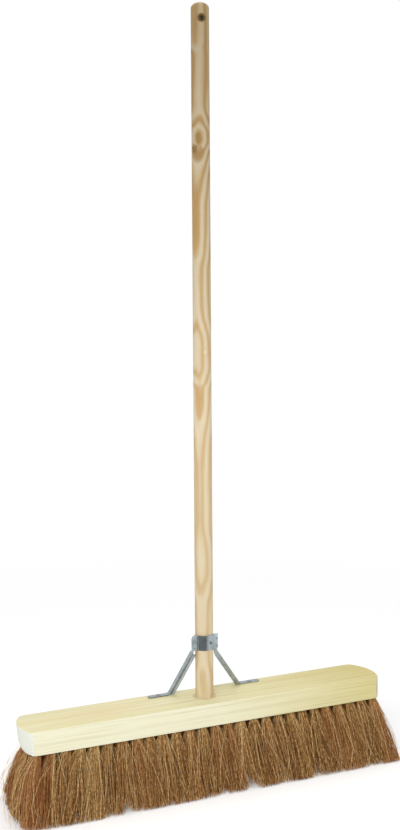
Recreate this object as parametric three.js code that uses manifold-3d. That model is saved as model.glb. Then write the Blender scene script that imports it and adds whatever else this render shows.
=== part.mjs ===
// Indoor push broom: pine handle, wooden stock, coir bristles and a pressed-steel stay.
// Millimetres, +Z up. The origin is on the handle's axis, at the level of the bristle tips.
// X runs along the stock, and the broom's front faces -Y.

import * as THREE from 'three';
import { mergeVertices } from 'three/addons/utils/BufferGeometryUtils.js';
import Module from 'manifold-3d';

const wasm = await Module();
wasm.setup();

// Clearance between pieces that touch
const fitGap = 0.3;

// Stock. Its bowed ends are fullest a little in front of the middle.
const stockLength = 605;
const stockWidth = 76;
const stockThickness = 36;
const stockEndRadius = 62;
const stockEndForward = 8;
const stockCornerRadius = 9;
const stockEdgeRadius = 1.6;
const socketFloor = 6;
const socketChamfer = 2;

// Handle
const handleDiameter = 28.6;
const handleLength = 1085;
const handleDomeHeight = 9;
const handleFootChamfer = 1.5;
const hangHoleDiameter = 9.8;
const hangHoleDrop = 24;
const hangHoleChamfer = 2;
const hangHoleTurn = 9;

// Bristles
const bristleLength = 100;
const backingRim = 2.5;
const backingThickness = 4;
const rowCount = 4;
const tuftPitch = 21.5;
const tuftEndMargin = 9;
const strandsAcrossTuft = 2;
const strandPitch = 4.5;
const strandRadius = 2.3;
const strandTipRadius = 3.6;
const strandBow = 0.4;
const strandBury = 1;
const frontFlare = 26;
const endFlare = 22;
const partingPlaces = [-145, 52];
const partingPush = 5;
const partingWidth = 6.5;
const partingReach = 26;

// Stay. Its collar is split in front of the handle's middle, and its feet stand at the stock's rear.
const sheetThickness = 1.5;
const collarBottom = 78;
const frontStrapHeight = 23.5;
const rearStrapHeight = 19.5;
const collarSplit = -7;
const foldRadius = 0.5;
const leftEarWidth = 8;
const rightEarWidth = 4;
const earDrop = 2.5;
const legReach = 61.5;
const legInset = 2.5;
const footLength = 35.5;
const footEdgeMargin = 11;
const footOffset = 11.5;
const stripWidth = 10;
const ankleRadius = 4;
const wallWidth = 7;
const wallNeck = 4.5;
const wallNotch = 3;
const wallRunout = 3;
const footTipRadius = 5;

// Fasteners
const rivetDiameter = 2;
const rivetHeadDiameter = 3.2;
const rivetHeadHeight = 0.9;
const rivetSpacing = 12;
const nailDiameter = 2.6;
const nailHeadDiameter = 5.4;
const nailHeadHeight = 1.2;
const nailLength = 16;
const nailTurn = 16;
const screwDiameter = 4;
const screwHeadDiameter = 7;
const screwHeadHeight = 1.4;
const screwLength = 18;

// A domed head, as shares of its radius and height: straight rim, then shoulder, then crown
const headRim = 0.35;
const headShoulder = { radius: 0.7, height: 0.85 };

// How finely round shapes are faceted
const facets = {
  handle: 48,
  hole: 28,
  pin: 16,
  rivet: 14,
  dome: 6,
  corner: 5,
  edge: 3,
  fold: 7,
  bend: 4,
  tip: 6,
};

// Levels and radii that follow from the sizes above
const stockTop = bristleLength + stockThickness;
const stockEndCentre = stockLength / 2 - stockEndRadius;
const socketDepth = stockThickness - backingThickness - socketFloor;
const handleRadius = handleDiameter / 2;
const socketRadius = handleRadius + fitGap;
const handleFoot = stockTop - socketDepth + fitGap;
const hangHoleHeight = handleFoot + handleLength - hangHoleDrop;
const bandRadius = handleRadius + fitGap + sheetThickness / 2;
const bandOuterRadius = bandRadius + sheetThickness / 2;
const collarFoot = stockTop + collarBottom;
const nailLevel = collarFoot + frontStrapHeight / 2;
const rivetLevel = collarFoot + rearStrapHeight / 2;
const kneeLevel = collarFoot - earDrop;
const footLevel = stockTop + fitGap + sheetThickness / 2;
const footSetBack = stockWidth / 2 - footEdgeMargin;
const overcut = 1;
const mergeDistance = 1e-4;

// Joining and cutting

function solidOf(geometry) {
  geometry.deleteAttribute('normal');
  geometry.deleteAttribute('uv');
  const merged = mergeVertices(geometry, mergeDistance);
  const vertProperties = new Float32Array(merged.attributes.position.array);
  const triVerts = new Uint32Array(merged.index.array);
  return new wasm.Manifold(new wasm.Mesh({ numProp: 3, vertProperties, triVerts }));
}

function geometryOf(solid) {
  const { vertProperties, triVerts } = solid.getMesh();
  const geometry = new THREE.BufferGeometry();
  geometry.setAttribute('position', new THREE.BufferAttribute(vertProperties, 3));
  geometry.setIndex(new THREE.BufferAttribute(triVerts, 1));
  geometry.computeVertexNormals();
  return geometry;
}

function piece(name, solid, colour, roughness, metalness) {
  const material = new THREE.MeshStandardMaterial({ color: colour, roughness, metalness });
  const mesh = new THREE.Mesh(geometryOf(solid), material);
  mesh.name = name;
  return mesh;
}

// Shapes used by several pieces

// A turned solid about +Z. Its outline is a list of [radius, height] from the axis and back to it.
function turned(outline, segments) {
  const points = outline.map(([radius, height]) => new THREE.Vector2(radius, height));
  const geometry = new THREE.LatheGeometry(points, segments);
  geometry.rotateX(Math.PI / 2);
  return geometry;
}

// The outline of a bent sheet: its middle line thickened to both sides, with mitred corners.
function sheetOutline(line, thickness) {
  const normals = line.slice(1).map((point, i) => {
    const along = point.clone().sub(line[i]).normalize();
    return new THREE.Vector2(-along.y, along.x);
  });
  const offsets = line.map((point, i) => {
    const before = normals[Math.max(i - 1, 0)];
    const after = normals[Math.min(i, normals.length - 1)];
    const mitre = before.clone().add(after);
    return mitre.multiplyScalar(thickness / 2 / mitre.dot(after));
  });
  const left = line.map((point, i) => point.clone().add(offsets[i]));
  const right = line.map((point, i) => point.clone().sub(offsets[i]));
  return new THREE.Shape(left.concat(right.reverse()));
}

function upright(shape, from, height, curveSegments) {
  const geometry = new THREE.ExtrudeGeometry(shape, { depth: height, bevelEnabled: false, curveSegments });
  geometry.translate(0, 0, from);
  return geometry;
}

// A shape drawn in X and Z, extruded along +Y
function crosswise(shape, from, depth) {
  const geometry = new THREE.ExtrudeGeometry(shape, { depth, bevelEnabled: false });
  geometry.rotateX(Math.PI / 2);
  geometry.translate(0, from + depth, 0);
  return geometry;
}

// Handle

function hangHole() {
  const half = handleRadius + overcut;
  const radius = hangHoleDiameter / 2;
  const mouth = handleRadius - hangHoleChamfer;
  const flared = radius + hangHoleChamfer + overcut;
  const outline = [[0, -half], [flared, -half], [radius, -mouth], [radius, mouth], [flared, half], [0, half]];
  const geometry = turned(outline, facets.hole);
  geometry.rotateX(Math.PI / 2);
  geometry.rotateZ(-THREE.MathUtils.degToRad(hangHoleTurn));
  geometry.translate(0, 0, hangHoleHeight);
  return solidOf(geometry);
}

function handleSolid() {
  const shoulder = handleLength - handleDomeHeight;
  const outline = [[0, 0], [handleRadius - handleFootChamfer, 0], [handleRadius, handleFootChamfer]];
  for (let step = 0; step <= facets.dome; step += 1) {
    const angle = (step / facets.dome) * (Math.PI / 2);
    const radius = step === facets.dome ? 0 : handleRadius * Math.cos(angle);
    outline.push([radius, shoulder + handleDomeHeight * Math.sin(angle)]);
  }
  const geometry = turned(outline, facets.handle);
  geometry.translate(0, 0, handleFoot);
  return solidOf(geometry).subtract(hangHole()).subtract(nailHole());
}

// Stock

// The stock from above, drawn in by a distance: straight sides, bowed ends and small round corners
function stockOutline(inset) {
  const endRadius = stockEndRadius - inset;
  const corner = Math.max(stockCornerRadius - inset, fitGap);
  const y = stockWidth / 2 - inset - corner;
  const [rear, front] = [y, -y].map((place) => {
    const out = place + stockEndForward;
    const along = Math.sqrt((endRadius - corner) ** 2 - out ** 2);
    return { x: stockEndCentre + along, y: place, turn: Math.atan2(out, along) };
  });
  const shape = new THREE.Shape();
  shape.absarc(stockEndCentre, -stockEndForward, endRadius, front.turn, rear.turn);
  shape.absarc(rear.x, rear.y, corner, rear.turn, Math.PI / 2);
  shape.absarc(-rear.x, rear.y, corner, Math.PI / 2, Math.PI - rear.turn);
  shape.absarc(-stockEndCentre, -stockEndForward, endRadius, Math.PI - rear.turn, Math.PI - front.turn);
  shape.absarc(-front.x, front.y, corner, Math.PI - front.turn, 1.5 * Math.PI);
  shape.absarc(front.x, front.y, corner, -Math.PI / 2, front.turn);
  return shape;
}

function stockBlock() {
  const geometry = new THREE.ExtrudeGeometry(stockOutline(0), {
    depth: stockThickness - 2 * stockEdgeRadius,
    bevelThickness: stockEdgeRadius,
    bevelSize: stockEdgeRadius,
    bevelOffset: -stockEdgeRadius,
    bevelSegments: facets.edge,
    curveSegments: facets.corner,
  });
  geometry.translate(0, 0, bristleLength + stockEdgeRadius);
  return solidOf(geometry);
}

function handleSocket() {
  const mouth = socketRadius + socketChamfer + overcut;
  const outline = [
    [0, stockTop - socketDepth],
    [socketRadius, stockTop - socketDepth],
    [socketRadius, stockTop - socketChamfer],
    [mouth, stockTop + overcut],
    [0, stockTop + overcut],
  ];
  return solidOf(turned(outline, facets.handle));
}

function backingPocket() {
  const depth = backingThickness + overcut;
  return solidOf(upright(stockOutline(backingRim), bristleLength - overcut, depth, facets.corner));
}

function stockSolid() {
  const drilled = stockBlock().subtract(handleSocket()).subtract(screwHole(1)).subtract(screwHole(-1));
  return drilled.subtract(backingPocket());
}

// Bristles

const rowPitch = (stockWidth - 2 * backingRim) / rowCount;
const rowPlaces = Array.from({ length: rowCount }, (_, i) => (i - (rowCount - 1) / 2) * rowPitch);

// Half the length of the backing at a distance from its middle line
function backingReach(y) {
  return stockEndCentre + Math.sqrt((stockEndRadius - backingRim) ** 2 - (y + stockEndForward) ** 2);
}

// A row has all the tufts that its length holds, evenly spread from end to end.
function tuftPlaces(row) {
  const reach = backingReach(rowPlaces[row]) - tuftEndMargin;
  const gaps = Math.round((2 * reach) / tuftPitch);
  return Array.from({ length: gaps + 1 }, (_, i) => reach * ((2 * i) / gaps - 1));
}

// Tips lean out towards the ends, and part where the bristles have been pushed aside.
function tipAlong(x) {
  let along = x + endFlare * (x / backingReach(0)) ** 3;
  for (const place of partingPlaces) {
    const away = x - place;
    along += partingPush * Math.tanh(away / partingWidth) * Math.exp(-((away / partingReach) ** 2));
  }
  return along;
}

// One strand of three sides, from inside the backing to its trimmed tip, curving outwards.
// The sharp corner of its section points away from the broom's middle.
function strand(root, tip) {
  const sides = 3;
  const bend = root.clone().lerp(tip, strandBow);
  const rings = [
    { place: root, height: bristleLength + strandBury, radius: strandRadius },
    { place: bend, height: bristleLength / 2, radius: strandRadius },
    { place: tip, height: 0, radius: strandTipRadius },
  ];
  const positions = [];
  for (const { place, height, radius } of rings) {
    for (let side = 0; side < sides; side += 1) {
      const angle = (side / sides) * 2 * Math.PI + Math.sign(tip.y) * (Math.PI / 2);
      positions.push(place.x + radius * Math.cos(angle), place.y + radius * Math.sin(angle), height);
    }
  }
  const faces = [0, 1, 2];
  for (let ring = 0; ring < rings.length - 1; ring += 1) {
    for (let side = 0; side < sides; side += 1) {
      const a = ring * sides + side;
      const b = ring * sides + ((side + 1) % sides);
      faces.push(a, a + sides, b + sides, a, b + sides, b);
    }
  }
  const last = (rings.length - 1) * sides;
  faces.push(last + 2, last + 1, last);
  const geometry = new THREE.BufferGeometry();
  geometry.setAttribute('position', new THREE.Float32BufferAttribute(positions, 3));
  geometry.setIndex(faces);
  return solidOf(geometry);
}

function backingSlice(row) {
  const outline = stockOutline(backingRim + fitGap);
  const whole = solidOf(upright(outline, bristleLength, backingThickness - fitGap, facets.corner));
  const strip = new THREE.BoxGeometry(stockLength, rowPitch - fitGap, stockThickness);
  strip.translate(0, rowPlaces[row], bristleLength);
  return whole.intersect(solidOf(strip));
}

function bristleRow(row) {
  const rowPlace = rowPlaces[row];
  const tipRowPitch = (stockWidth + 2 * frontFlare) / rowCount;
  const tipRowPlace = (rowPlace / rowPitch) * tipRowPitch;
  const strands = [];
  for (const tuftPlace of tuftPlaces(row)) {
    for (let i = 0; i < strandsAcrossTuft; i += 1) {
      for (let j = 0; j < strandsAcrossTuft; j += 1) {
        const across = i - (strandsAcrossTuft - 1) / 2;
        const back = j - (strandsAcrossTuft - 1) / 2;
        const root = new THREE.Vector2(tuftPlace + across * strandPitch, rowPlace + back * strandPitch);
        const tip = new THREE.Vector2(
          tipAlong(tuftPlace + (across * tuftPitch) / strandsAcrossTuft),
          tipRowPlace + (back * tipRowPitch) / strandsAcrossTuft,
        );
        strands.push(strand(root, tip));
      }
    }
  }
  return wasm.Manifold.union([backingSlice(row), ...strands]);
}

// Stay

const frontEar = collarSplit - (fitGap + sheetThickness) / 2;
const rearEar = collarSplit + (fitGap + sheetThickness) / 2;
const foldLineRadius = foldRadius + sheetThickness / 2;

// Where the half collar runs into its flat ears. facing is -1 for the front half and 1 for the rear.
function foldCentre(facing, ear) {
  const out = facing * ear + foldLineRadius;
  const along = Math.sqrt((bandRadius + foldLineRadius) ** 2 - out ** 2);
  return { along, out };
}

const foldEnd = Math.max(foldCentre(-1, frontEar).along, foldCentre(1, rearEar).along);

function earWidth(side) {
  return side < 0 ? leftEarWidth : rightEarWidth;
}

function earEnd(side) {
  return foldEnd + earWidth(side);
}

// One half of the collar, seen from above: free ear, fold, half round, fold and the leg's ear
function halfCollar(side, facing, ear) {
  const { along, out } = foldCentre(facing, ear);
  const turn = Math.atan2(out, along);
  const flat = facing * ear;
  const path = new THREE.Path();
  path.moveTo(-earEnd(-side), flat);
  path.lineTo(-along, flat);
  path.absarc(-along, out, foldLineRadius, -Math.PI / 2, -turn, false);
  path.absarc(0, 0, bandRadius, Math.PI - turn, turn, true);
  path.absarc(along, out, foldLineRadius, Math.PI + turn, 1.5 * Math.PI, false);
  path.lineTo(earEnd(side), flat);
  const points = path.getPoints(facets.fold);
  const line = points.map((point) => new THREE.Vector2(side * point.x, facing * point.y));
  const distinct = line.filter((point, i) => i === 0 || point.distanceTo(line[i - 1]) > mergeDistance);
  const height = facing < 0 ? frontStrapHeight : rearStrapHeight;
  return solidOf(upright(sheetOutline(distinct, sheetThickness), collarFoot, height));
}

// The leg leans back from its knee under the ear to the foot.
function leanBack(geometry, distance) {
  const position = geometry.attributes.position;
  for (let i = 0; i < position.count; i += 1) {
    const down = (kneeLevel - position.getZ(i)) / (kneeLevel - footLevel);
    position.setY(i, position.getY(i) + distance * THREE.MathUtils.clamp(down, 0, 1));
  }
  return geometry;
}

// Points of a rounded corner between two straight runs
function corner(before, at, after, radius, steps) {
  const arm = Math.min(radius, at.distanceTo(before) / 2, at.distanceTo(after) / 2);
  const start = at.clone().add(before.clone().sub(at).setLength(arm));
  const end = at.clone().add(after.clone().sub(at).setLength(arm));
  return new THREE.QuadraticBezierCurve(start, at, end).getPoints(steps);
}

function footBend(side) {
  return legReach + side * footOffset;
}

function footTip(side) {
  return footBend(side) + footLength;
}

// Leg and foot of one half: a bent strip with a stiffening wall folded down its front edge.
// The wall runs up into the ear.
function legSolid(side, ear) {
  const front = ear - sheetThickness / 2;
  const lean = footSetBack - (front + stripWidth / 2);
  const knee = new THREE.Vector2(earEnd(side) - legInset, kneeLevel);
  const bend = new THREE.Vector2(footBend(side), footLevel);
  const tip = new THREE.Vector2(footTip(side), footLevel);
  const along = bend.clone().sub(knee).normalize();
  const inward = new THREE.Vector2(along.y, -along.x);
  const legLength = bend.distanceTo(knee);
  const onLeg = (run, depth) => knee.clone().addScaledVector(along, run).addScaledVector(inward, depth);

  const ankle = corner(knee, bend, tip, ankleRadius, facets.bend);
  const strip = sheetOutline([knee, ...ankle, tip], sheetThickness);
  const wall = new THREE.Shape([
    new THREE.Vector2(earEnd(side), collarFoot + sheetThickness),
    knee,
    onLeg(legLength - wallRunout / 2, 0),
    onLeg(legLength - wallRunout - wallWidth, wallWidth),
    onLeg(wallNotch, wallWidth),
    onLeg(wallNotch, wallNeck),
    new THREE.Vector2(knee.x - wallNeck, collarFoot + sheetThickness),
  ]);
  const place = (geometry) => {
    const leaned = leanBack(geometry, lean);
    return side > 0 ? leaned : mirrored(leaned);
  };
  const bentStrip = solidOf(place(crosswise(strip, front, stripWidth)));
  const stiffener = solidOf(place(crosswise(wall, front, sheetThickness)));
  return bentStrip.intersect(footOutline(side)).add(stiffener);
}

// Turns a shape over to the other side of the handle, with its faces still pointing out
function mirrored(geometry) {
  const flat = geometry.index ? geometry.toNonIndexed() : geometry;
  const position = flat.attributes.position;
  for (let i = 0; i < position.count; i += 3) {
    const [a, b, c] = [0, 1, 2].map((k) => new THREE.Vector3().fromBufferAttribute(position, i + k));
    [a, c, b].forEach((point, k) => position.setXYZ(i + k, -point.x, point.y, point.z));
  }
  return flat;
}

// Seen from above, the foot ends in two rounded corners.
function footOutline(side) {
  const tip = footTip(side);
  const low = footSetBack - stripWidth / 2;
  const high = footSetBack + stripWidth / 2;
  const straight = tip - footTipRadius;
  const shape = new THREE.Shape();
  shape.moveTo(0, -stockWidth);
  shape.lineTo(straight, -stockWidth);
  shape.lineTo(straight, low);
  shape.absarc(straight, low + footTipRadius, footTipRadius, -Math.PI / 2, 0);
  shape.absarc(straight, high - footTipRadius, footTipRadius, 0, Math.PI / 2);
  shape.lineTo(straight, stockWidth);
  shape.lineTo(0, stockWidth);
  const height = frontStrapHeight + collarFoot - footLevel;
  const geometry = upright(shape, footLevel - sheetThickness, height, facets.tip);
  return solidOf(side > 0 ? geometry : mirrored(geometry));
}

function stayHalf(side, facing) {
  const ear = facing < 0 ? frontEar : rearEar;
  let half = halfCollar(side, facing, ear).add(legSolid(side, ear)).subtract(screwHole(side));
  for (const { x, z } of rivetPlaces) {
    half = half.subtract(rivetHole(x, z));
  }
  return facing < 0 ? half.subtract(nailHole()) : half;
}

// Fasteners

// The outline of a domed head from its seat to its crown
function headOutline(diameter, height) {
  const radius = diameter / 2;
  return [
    [radius, 0],
    [radius, height * headRim],
    [radius * headShoulder.radius, height * headShoulder.height],
    [0, height],
  ];
}

// A headed pin about +Z: its head stands above zero, and its shank below ends in a blunt taper
function headedPin(diameter, length, headDiameter, headHeight) {
  const shank = diameter / 2;
  const taper = [[0, -length], [shank / 2, -length], [shank, shank - length], [shank, 0]];
  return turned([...taper, ...headOutline(headDiameter, headHeight)], facets.pin);
}

function drilled(diameter, length) {
  const radius = diameter / 2 + fitGap;
  const floor = -length - fitGap;
  const mouth = sheetThickness + overcut;
  return turned([[0, floor], [radius, floor], [radius, mouth], [0, mouth]], facets.pin);
}

function atFoot(side, geometry) {
  const hole = side * (footBend(side) + footLength / 2);
  geometry.translate(hole, footSetBack, footLevel + sheetThickness / 2 + fitGap);
  return solidOf(geometry);
}

function footScrew(side) {
  return atFoot(side, headedPin(screwDiameter, screwLength, screwHeadDiameter, screwHeadHeight));
}

function screwHole(side) {
  return atFoot(side, drilled(screwDiameter, screwLength));
}

function atCollar(geometry) {
  geometry.rotateX(Math.PI / 2);
  geometry.translate(0, -bandOuterRadius - fitGap, nailLevel);
  geometry.rotateZ(THREE.MathUtils.degToRad(nailTurn));
  return solidOf(geometry);
}

function collarNail() {
  return atCollar(headedPin(nailDiameter, nailLength, nailHeadDiameter, nailHeadHeight));
}

function nailHole() {
  return atCollar(drilled(nailDiameter, nailLength));
}

const rivetPlaces = [-1, 1].flatMap((side) => [-1, 1].map((level) => ({
  name: `ear_rivet_${side < 0 ? 'left' : 'right'}_${level < 0 ? 'lower' : 'upper'}`,
  x: side * (foldEnd + earWidth(side) / 2),
  z: rivetLevel + (level * rivetSpacing) / 2,
})));

// A rivet closed on both sides of the two ears
function earRivet(x, z) {
  const grip = sheetThickness + fitGap / 2 + fitGap;
  const shank = rivetDiameter / 2;
  const dome = headOutline(rivetHeadDiameter, rivetHeadHeight);
  const upper = dome.map(([radius, height]) => [radius, grip + height]);
  const lower = upper.map(([radius, height]) => [radius, -height]).reverse();
  const geometry = turned([...lower, [shank, -grip], [shank, grip], ...upper], facets.rivet);
  geometry.rotateX(Math.PI / 2);
  geometry.translate(x, collarSplit, z);
  return solidOf(geometry);
}

function rivetHole(x, z) {
  const radius = rivetDiameter / 2 + fitGap;
  const reach = sheetThickness + fitGap + overcut;
  const geometry = turned([[0, -reach], [radius, -reach], [radius, reach], [0, reach]], facets.rivet);
  geometry.rotateX(Math.PI / 2);
  geometry.translate(x, collarSplit, z);
  return solidOf(geometry);
}

// The broom, put together

const pine = [0xe6cda4, 0.55, 0];
const paleWood = [0xe9e2bd, 0.7, 0];
const coir = [0x8a6238, 0.9, 0];
const zincSteel = [0x9aa3a8, 0.45, 0.85];
const darkSteel = [0x6f777c, 0.4, 0.9];

const head = new THREE.Group();
head.add(piece('stock', stockSolid(), ...paleWood));
const rowNames = ['bristles_front', 'bristles_inner_front', 'bristles_inner_rear', 'bristles_rear'];
rowNames.forEach((name, row) => head.add(piece(name, bristleRow(row), ...coir)));

const stay = new THREE.Group();
stay.add(piece('stay_right_half', stayHalf(1, -1), ...zincSteel));
stay.add(piece('stay_left_half', stayHalf(-1, 1), ...zincSteel));
rivetPlaces.forEach(({ name, x, z }) => stay.add(piece(name, earRivet(x, z), ...darkSteel)));
stay.add(piece('collar_nail', collarNail(), ...darkSteel));
stay.add(piece('foot_screw_left', footScrew(-1), ...darkSteel));
stay.add(piece('foot_screw_right', footScrew(1), ...darkSteel));

const broom = new THREE.Group();
broom.add(piece('handle', handleSolid(), ...pine), head, stay);

export default broom;
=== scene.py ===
import math
import bmesh
import bpy
import numpy as np
from mathutils import Matrix, Vector


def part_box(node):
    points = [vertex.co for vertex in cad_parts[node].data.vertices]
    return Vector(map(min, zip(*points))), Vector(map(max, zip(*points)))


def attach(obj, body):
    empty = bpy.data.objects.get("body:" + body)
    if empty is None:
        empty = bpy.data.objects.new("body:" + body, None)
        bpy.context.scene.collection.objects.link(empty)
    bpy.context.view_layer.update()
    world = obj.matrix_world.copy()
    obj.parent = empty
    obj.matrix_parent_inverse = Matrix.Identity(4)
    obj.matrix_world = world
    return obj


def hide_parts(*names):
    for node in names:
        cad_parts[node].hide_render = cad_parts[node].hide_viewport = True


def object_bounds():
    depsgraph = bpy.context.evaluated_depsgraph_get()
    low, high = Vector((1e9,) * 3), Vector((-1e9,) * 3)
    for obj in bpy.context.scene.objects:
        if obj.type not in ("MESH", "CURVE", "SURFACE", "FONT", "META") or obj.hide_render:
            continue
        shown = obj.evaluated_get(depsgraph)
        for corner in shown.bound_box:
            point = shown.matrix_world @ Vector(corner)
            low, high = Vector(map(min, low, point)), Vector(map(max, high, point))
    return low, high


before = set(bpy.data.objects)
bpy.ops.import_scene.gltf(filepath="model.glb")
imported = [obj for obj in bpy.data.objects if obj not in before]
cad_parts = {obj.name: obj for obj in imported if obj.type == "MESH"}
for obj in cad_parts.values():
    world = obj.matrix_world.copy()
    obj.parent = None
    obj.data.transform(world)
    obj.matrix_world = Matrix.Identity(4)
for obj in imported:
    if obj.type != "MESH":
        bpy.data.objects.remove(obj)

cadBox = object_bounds()
mm = 0.001
quarterTurn = math.pi / 2
fullTurn = 2 * math.pi
print("frame loaded, box", [tuple(round(c, 4) for c in corner) for corner in cadBox])


# small helpers for working as by hand

mergeDistance = 0.01 * mm
samePlace = 1e-6  # places nearer than this are one
endOn = 0.9  # a face with more than this of its normal along Z is an end
woodAngle, metalAngle = 35, 40  # edges sharper than this many degrees stay sharp
bevelAngle = dict(wood=40, sheet=50)  # and only edges sharper than this are bevelled


def deselectAll():
    if bpy.context.mode != "OBJECT":
        bpy.ops.object.mode_set(mode="OBJECT")
    bpy.ops.object.select_all(action="DESELECT")


def takeUp(obj):  # the only selected and active object
    deselectAll()
    bpy.context.view_layer.objects.active = obj
    obj.select_set(True)


def startEdit(obj):
    takeUp(obj)
    bpy.ops.object.mode_set(mode="EDIT")
    bpy.ops.mesh.select_mode(type="VERT")
    bpy.ops.mesh.select_all(action="DESELECT")


def endEdit():
    bpy.ops.object.mode_set(mode="OBJECT")


def near(first, second):
    return abs(first - second) < samePlace


def pick(obj, test, kind="VERT"):  # selects what passes the test
    bpy.ops.mesh.select_mode(type=kind)
    bpy.ops.mesh.select_all(action="DESELECT")
    mesh = bmesh.from_edit_mesh(obj.data)
    items = {"VERT": mesh.verts, "EDGE": mesh.edges, "FACE": mesh.faces}[kind]
    chosen = [item for item in items if test(item)]
    for item in chosen:
        item.select_set(True)
    mesh.select_flush_mode()
    bmesh.update_edit_mesh(obj.data)


def pickEnd(obj, up):  # the flat end that faces up, 1, or down, -1
    pick(obj, lambda f: f.normal.z * up > endOn, "FACE")


def pull(move):  # extrudes what is picked
    bpy.ops.mesh.extrude_region_move(TRANSFORM_OT_translate={"value": move})


def widen(factor):  # what is picked, across Z
    bpy.ops.transform.resize(value=(factor, factor, 1))


def slide(distance):  # what is picked, along X
    bpy.ops.transform.translate(value=(distance, 0, 0))


def cutThrough(place, direction):  # new edges where a plane crosses the whole piece
    bpy.ops.mesh.select_all(action="SELECT")
    bpy.ops.mesh.bisect(plane_co=place, plane_no=direction)


def raiseDome(height, steps, flat):  # from the picked end; flat is the part of a step left at the top
    before = (0.0, 1.0)
    for step in range(1, steps + 1):
        angle = quarterTurn * step / (steps + flat)
        now = (math.sin(angle), math.cos(angle))
        pull((0, 0, (now[0] - before[0]) * height))
        widen(now[1] / before[1])
        before = now


def settle(obj, name):  # place goes into the mesh, the object stays at the origin
    takeUp(obj)
    bpy.ops.object.transform_apply(location=True, rotation=True, scale=True)
    obj.name = name
    obj.data.name = name
    return obj


def placeAt(obj, place, turn):
    obj.matrix_world = Matrix.Translation(place) @ turn
    return settle(obj, obj.name)


def turnAbout(axis, angle):
    return Matrix.Rotation(angle, 4, axis)


def addCylinder(name, sides, radius, low, high):  # about Z
    deselectAll()
    bpy.ops.mesh.primitive_cylinder_add(vertices=sides, radius=radius, depth=high - low,
                                        location=(0, 0, (low + high) / 2))
    return settle(bpy.context.object, name)


def addBlock(name, size, middle):
    deselectAll()
    bpy.ops.mesh.primitive_cube_add(size=1, location=middle, scale=size)
    return settle(bpy.context.object, name)


def addPlane(name, size):
    deselectAll()
    bpy.ops.mesh.primitive_plane_add(size=size)
    return settle(bpy.context.object, name)


def addObject(name, data):
    obj = bpy.data.objects.new(name, data)
    bpy.context.scene.collection.objects.link(obj)
    return obj


def cleanUp(obj):
    startEdit(obj)
    bpy.ops.mesh.select_all(action="SELECT")
    bpy.ops.mesh.remove_doubles(threshold=mergeDistance)
    bpy.ops.mesh.normals_make_consistent(inside=False)
    endEdit()


def applyModifier(obj, kind, **settings):
    takeUp(obj)
    modifier = obj.modifiers.new(kind.lower(), kind)
    for key, value in settings.items():
        setattr(modifier, key, value)
    bpy.ops.object.modifier_apply(modifier=modifier.name)


def easeEdges(obj, width, segments, degrees):
    applyModifier(obj, "BEVEL", width=width, segments=segments, limit_method="ANGLE",
                  angle_limit=math.radians(degrees))


def cutWith(obj, cutter, operation="DIFFERENCE"):
    applyModifier(obj, "BOOLEAN", object=cutter, operation=operation, solver="EXACT")
    bpy.data.objects.remove(cutter)


def smooth(obj, degrees):
    takeUp(obj)
    bpy.ops.object.shade_smooth_by_angle(angle=math.radians(degrees))


def dress(obj, material, slot, *nodes):  # finish, ride and stand for the CAD nodes
    obj.data.materials.clear()
    obj.data.materials.append(material)
    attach(obj, "root")
    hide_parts(*nodes)
    print("made", obj.name, len(obj.data.polygons), "faces")


# node helpers

noiseSpan = (0.2, 0.8)  # nearly all of a noise's values lie in here


def srgb(red, green, blue):  # a colour as a paint program names it, made linear
    def linear(value):
        value /= 255
        return value / 12.92 if value <= 0.04045 else ((value + 0.055) / 1.055) ** 2.4
    return (linear(red), linear(green), linear(blue), 1)


def grey(value):
    return (value, value, value, 1)


def newMaterial(name):
    material = bpy.data.materials.new(name)
    material.use_nodes = True
    return material, material.node_tree.nodes["Principled BSDF"]


def isLink(value):
    return isinstance(value, bpy.types.NodeSocket)


def feed(node, inputs):  # a socket takes a link or a plain value
    for key, value in inputs.items():
        if isLink(value):
            node.id_data.links.new(value, node.inputs[key])
        else:
            node.inputs[key].default_value = value


def addNode(kind, inputs, tree=None, **settings):  # goes where its links come from, or in the given tree
    for value in filter(isLink, inputs.values()):
        tree = value.id_data
    node = tree.nodes.new("ShaderNode" + kind)
    for key, value in settings.items():
        setattr(node, key, value)
    feed(node, inputs)
    return node


def sums(operation, *values):  # one value alone, or two and more taken in turn
    result = values[0]
    for value in values[1:] or (0.0,):
        result = addNode("Math", {0: result, 1: value}, operation=operation).outputs[0]
    return result


def squared(value):
    return sums("MULTIPLY", value, value)


def vectorSums(operation, *vectors):
    return addNode("VectorMath", dict(enumerate(vectors)), operation=operation).outputs


def stretched(coords, stretch, shift=(0, 0, 0)):
    inputs = {"Vector": coords, "Scale": stretch, "Location": shift}
    return addNode("Mapping", inputs).outputs["Vector"]


def noiseOf(coords, stretch, shift=(0, 0, 0), detail=3, roughness=0.5, distortion=0.0):
    inputs = {"Vector": stretched(coords, stretch, shift), "Scale": 1.0, "Detail": detail,
              "Roughness": roughness, "Distortion": distortion}
    return addNode("TexNoise", inputs).outputs["Fac"]


def rangeOf(value, low, high, toLow=0.0, toHigh=1.0):
    inputs = {"Value": value, "From Min": low, "From Max": high, "To Min": toLow, "To Max": toHigh}
    return addNode("MapRange", inputs).outputs["Result"]


def swingOf(noise, most, span=noiseSpan):  # a noise as a swing to both sides of nought
    return rangeOf(noise, *span, -most, most)


def fadeOver(value, place, half, *levels):  # a step at a place, softened to both sides
    return rangeOf(value, place - half, place + half, *levels)


def rampOf(value, stops):
    node = addNode("ValToRGB", {"Fac": value})
    elements = node.color_ramp.elements
    while len(elements) < len(stops):
        elements.new(0.5)
    for element, (place, colour) in zip(elements, stops):
        element.position = place
        element.color = colour
    return node.outputs["Color"]


def blendOf(factor, first, second, mode="MIX"):
    inputs = {"Factor": factor, "A": first, "B": second}
    return addNode("Mix", inputs, data_type="RGBA", blend_type=mode).outputs["Result"]


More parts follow.
